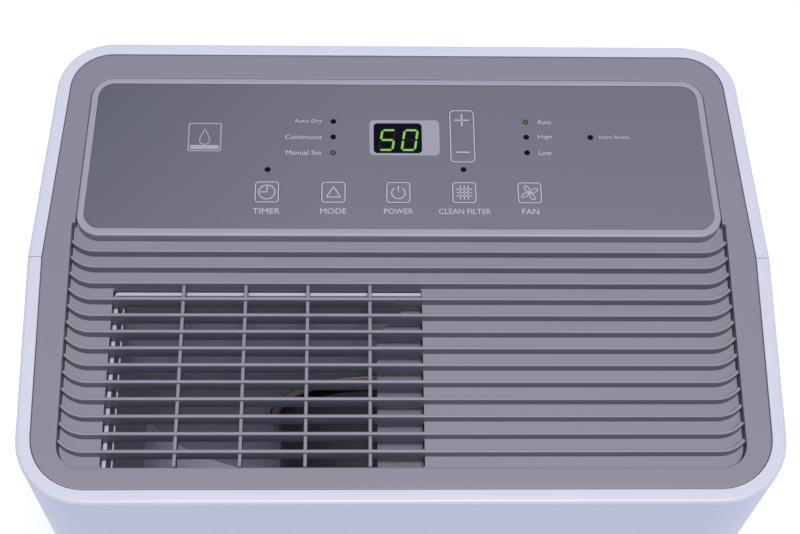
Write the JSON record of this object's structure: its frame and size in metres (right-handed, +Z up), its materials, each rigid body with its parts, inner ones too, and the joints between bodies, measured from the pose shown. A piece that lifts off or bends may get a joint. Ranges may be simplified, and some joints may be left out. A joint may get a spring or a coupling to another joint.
{
  "type": "dehumidifier",
  "caption": "Portable dehumidifier with a top discharge grille and control panel, a pull-out water bucket, a rear intake and swivel casters.",
  "frame": {"origin": "on the floor under the middle of the cabinet", "axes": "+Z up, the front with the bucket faces -Y, +X to the right seen from the front"},
  "size_m": [0.39, 0.2706, 0.61],
  "materials": {
    "white_casing": "satin",
    "grey_cover": "satin",
    "panel_edge": "satin",
    "overlay_film": "satin",
    "dark_lens": "polished",
    "duct_plastic": "moulded",
    "wheel_plastic": "moulded",
    "bare_steel": "brushed",
    "black_paint": "satin",
    "aluminium_fins": "mill",
    "copper": "drawn tube",
    "rubber": "moulded",
    "circuit_board": "lacquered",
    "natural_plastic": "moulded",
    "clear_plastic": "polished",
    "foam": "moulded",
    "filter_net": "woven net",
    "black_nylon": "moulded"
  },
  "bodies": {
    "cabinet": {"front_cover": "white_casing", "rear_cover": "white_casing", "side_grip_left": "grey_cover", "side_grip_right": "grey_cover", "top_cover": "grey_cover", "discharge_grille": "grey_cover", "control_panel": "panel_edge", "control_overlay": "overlay_film", "display_lens": "dark_lens", "control_board": "circuit_board", "blower_housing": "duct_plastic", "fan_motor": "black_paint", "motor_bracket": "bare_steel", "evaporator_coil": "aluminium_fins", "condenser_coil": "aluminium_fins", "drip_tray": "natural_plastic", "compressor": "black_paint", "compressor_grommet_1": "rubber", "compressor_grommet_2": "rubber", "compressor_grommet_3": "rubber", "suction_tube": "copper", "discharge_tube": "copper", "liquid_tube": "copper", "capillary_tube": "copper", "filter_drier": "copper", "run_capacitor": "bare_steel", "chassis": "natural_plastic", "base_pan": "duct_plastic", "bucket_switch": "black_nylon", "cord_gland": "black_nylon"},
    "blower": {"blower_wheel": "wheel_plastic", "motor_shaft": "bare_steel"},
    "bucket_drawer": {"bucket": "natural_plastic", "bucket_front": "white_casing", "level_window": "clear_plastic"},
    "handle": {"bucket_handle": "bare_steel"},
    "float": {"float_arm": "foam"},
    "intake_panel": {"intake_grille": "white_casing", "air_filter": "filter_net"},
    "drain_plug": {"drain_cap": "grey_cover"},
    "rocker": {"humidity_rocker": "overlay_film"},
    "timer_key": {"key_timer": "overlay_film"},
    "mode_key": {"key_mode": "overlay_film"},
    "power_key": {"key_power": "overlay_film"},
    "filter_key": {"key_filter": "overlay_film"},
    "fan_key": {"key_fan": "overlay_film"},
    "caster_front_left": {"caster_fork_front_left": "black_nylon", "caster_axle_front_left": "bare_steel"},
    "wheel_front_left": {"caster_wheel_front_left": "black_nylon"},
    "caster_front_right": {"caster_fork_front_right": "black_nylon", "caster_axle_front_right": "bare_steel"},
    "wheel_front_right": {"caster_wheel_front_right": "black_nylon"},
    "caster_rear_left": {"caster_fork_rear_left": "black_nylon", "caster_axle_rear_left": "bare_steel"},
    "wheel_rear_left": {"caster_wheel_rear_left": "black_nylon"},
    "caster_rear_right": {"caster_fork_rear_right": "black_nylon", "caster_axle_rear_right": "bare_steel"},
    "wheel_rear_right": {"caster_wheel_rear_right": "black_nylon"}
  },
  "joints": [
    {"name": "bucket_slide", "type": "slide", "parent": "cabinet", "child": "bucket_drawer", "axis": [0, -1, 0], "range_m": [0, 0.24]},
    {"name": "handle_hinge", "type": "hinge", "parent": "bucket_drawer", "child": "handle", "pos_m": [0, -0.05, 0.212], "axis": [1, 0, 0], "range_deg": [0, 76]},
    {"name": "float_hinge", "type": "hinge", "parent": "bucket_drawer", "child": "float", "pos_m": [-0.1185, 0.018, 0.196], "axis": [-1, 0, 0], "range_deg": [0, 12]},
    {"name": "intake_pull", "type": "slide", "parent": "cabinet", "child": "intake_panel", "axis": [0, 1, 0], "range_m": [0, 0.05]},
    {"name": "drain_cap_pull", "type": "slide", "parent": "cabinet", "child": "drain_plug", "axis": [0, 1, 0], "range_m": [0, 0.025]},
    {"name": "blower_spin", "type": "hinge", "parent": "cabinet", "child": "blower", "pos_m": [-0.014, -0.004, 0.46], "axis": [0, 1, 0], "continuous": true},
    {"name": "humidity_rocker_tip", "type": "hinge", "parent": "cabinet", "child": "rocker", "pos_m": [0.0343, 0.0752, 0.6076], "axis": [1, 0, 0], "range_deg": [-1.2, 1.2], "stiffness_Nm_per_rad": 0.4},
    {"name": "timer_press", "type": "slide", "parent": "cabinet", "child": "timer_key", "axis": [0, 0, -1], "range_m": [0, 0.0005], "stiffness_N_per_m": 900},
    {"name": "mode_press", "type": "slide", "parent": "cabinet", "child": "mode_key", "axis": [0, 0, -1], "range_m": [0, 0.0005], "stiffness_N_per_m": 900},
    {"name": "power_press", "type": "slide", "parent": "cabinet", "child": "power_key", "axis": [0, 0, -1], "range_m": [0, 0.0005], "stiffness_N_per_m": 900},
    {"name": "filter_press", "type": "slide", "parent": "cabinet", "child": "filter_key", "axis": [0, 0, -1], "range_m": [0, 0.0005], "stiffness_N_per_m": 900},
    {"name": "fan_press", "type": "slide", "parent": "cabinet", "child": "fan_key", "axis": [0, 0, -1], "range_m": [0, 0.0005], "stiffness_N_per_m": 900},
    {"name": "swivel_front_left", "type": "hinge", "parent": "cabinet", "child": "caster_front_left", "pos_m": [-0.15, -0.095, 0], "axis": [0, 0, 1], "continuous": true},
    {"name": "roll_front_left", "type": "hinge", "parent": "caster_front_left", "child": "wheel_front_left", "pos_m": [-0.15, -0.087, 0.015], "axis": [1, 0, 0], "continuous": true},
    {"name": "swivel_front_right", "type": "hinge", "parent": "cabinet", "child": "caster_front_right", "pos_m": [0.15, -0.095, 0], "axis": [0, 0, 1], "continuous": true},
    {"name": "roll_front_right", "type": "hinge", "parent": "caster_front_right", "child": "wheel_front_right", "pos_m": [0.15, -0.087, 0.015], "axis": [1, 0, 0], "continuous": true},
    {"name": "swivel_rear_left", "type": "hinge", "parent": "cabinet", "child": "caster_rear_left", "pos_m": [-0.15, 0.095, 0], "axis": [0, 0, 1], "continuous": true},
    {"name": "roll_rear_left", "type": "hinge", "parent": "caster_rear_left", "child": "wheel_rear_left", "pos_m": [-0.15, 0.103, 0.015], "axis": [1, 0, 0], "continuous": true},
    {"name": "swivel_rear_right", "type": "hinge", "parent": "cabinet", "child": "caster_rear_right", "pos_m": [0.15, 0.095, 0], "axis": [0, 0, 1], "continuous": true},
    {"name": "roll_rear_right", "type": "hinge", "parent": "caster_rear_right", "child": "wheel_rear_right", "pos_m": [0.15, 0.103, 0.015], "axis": [1, 0, 0], "continuous": true}
  ]
}
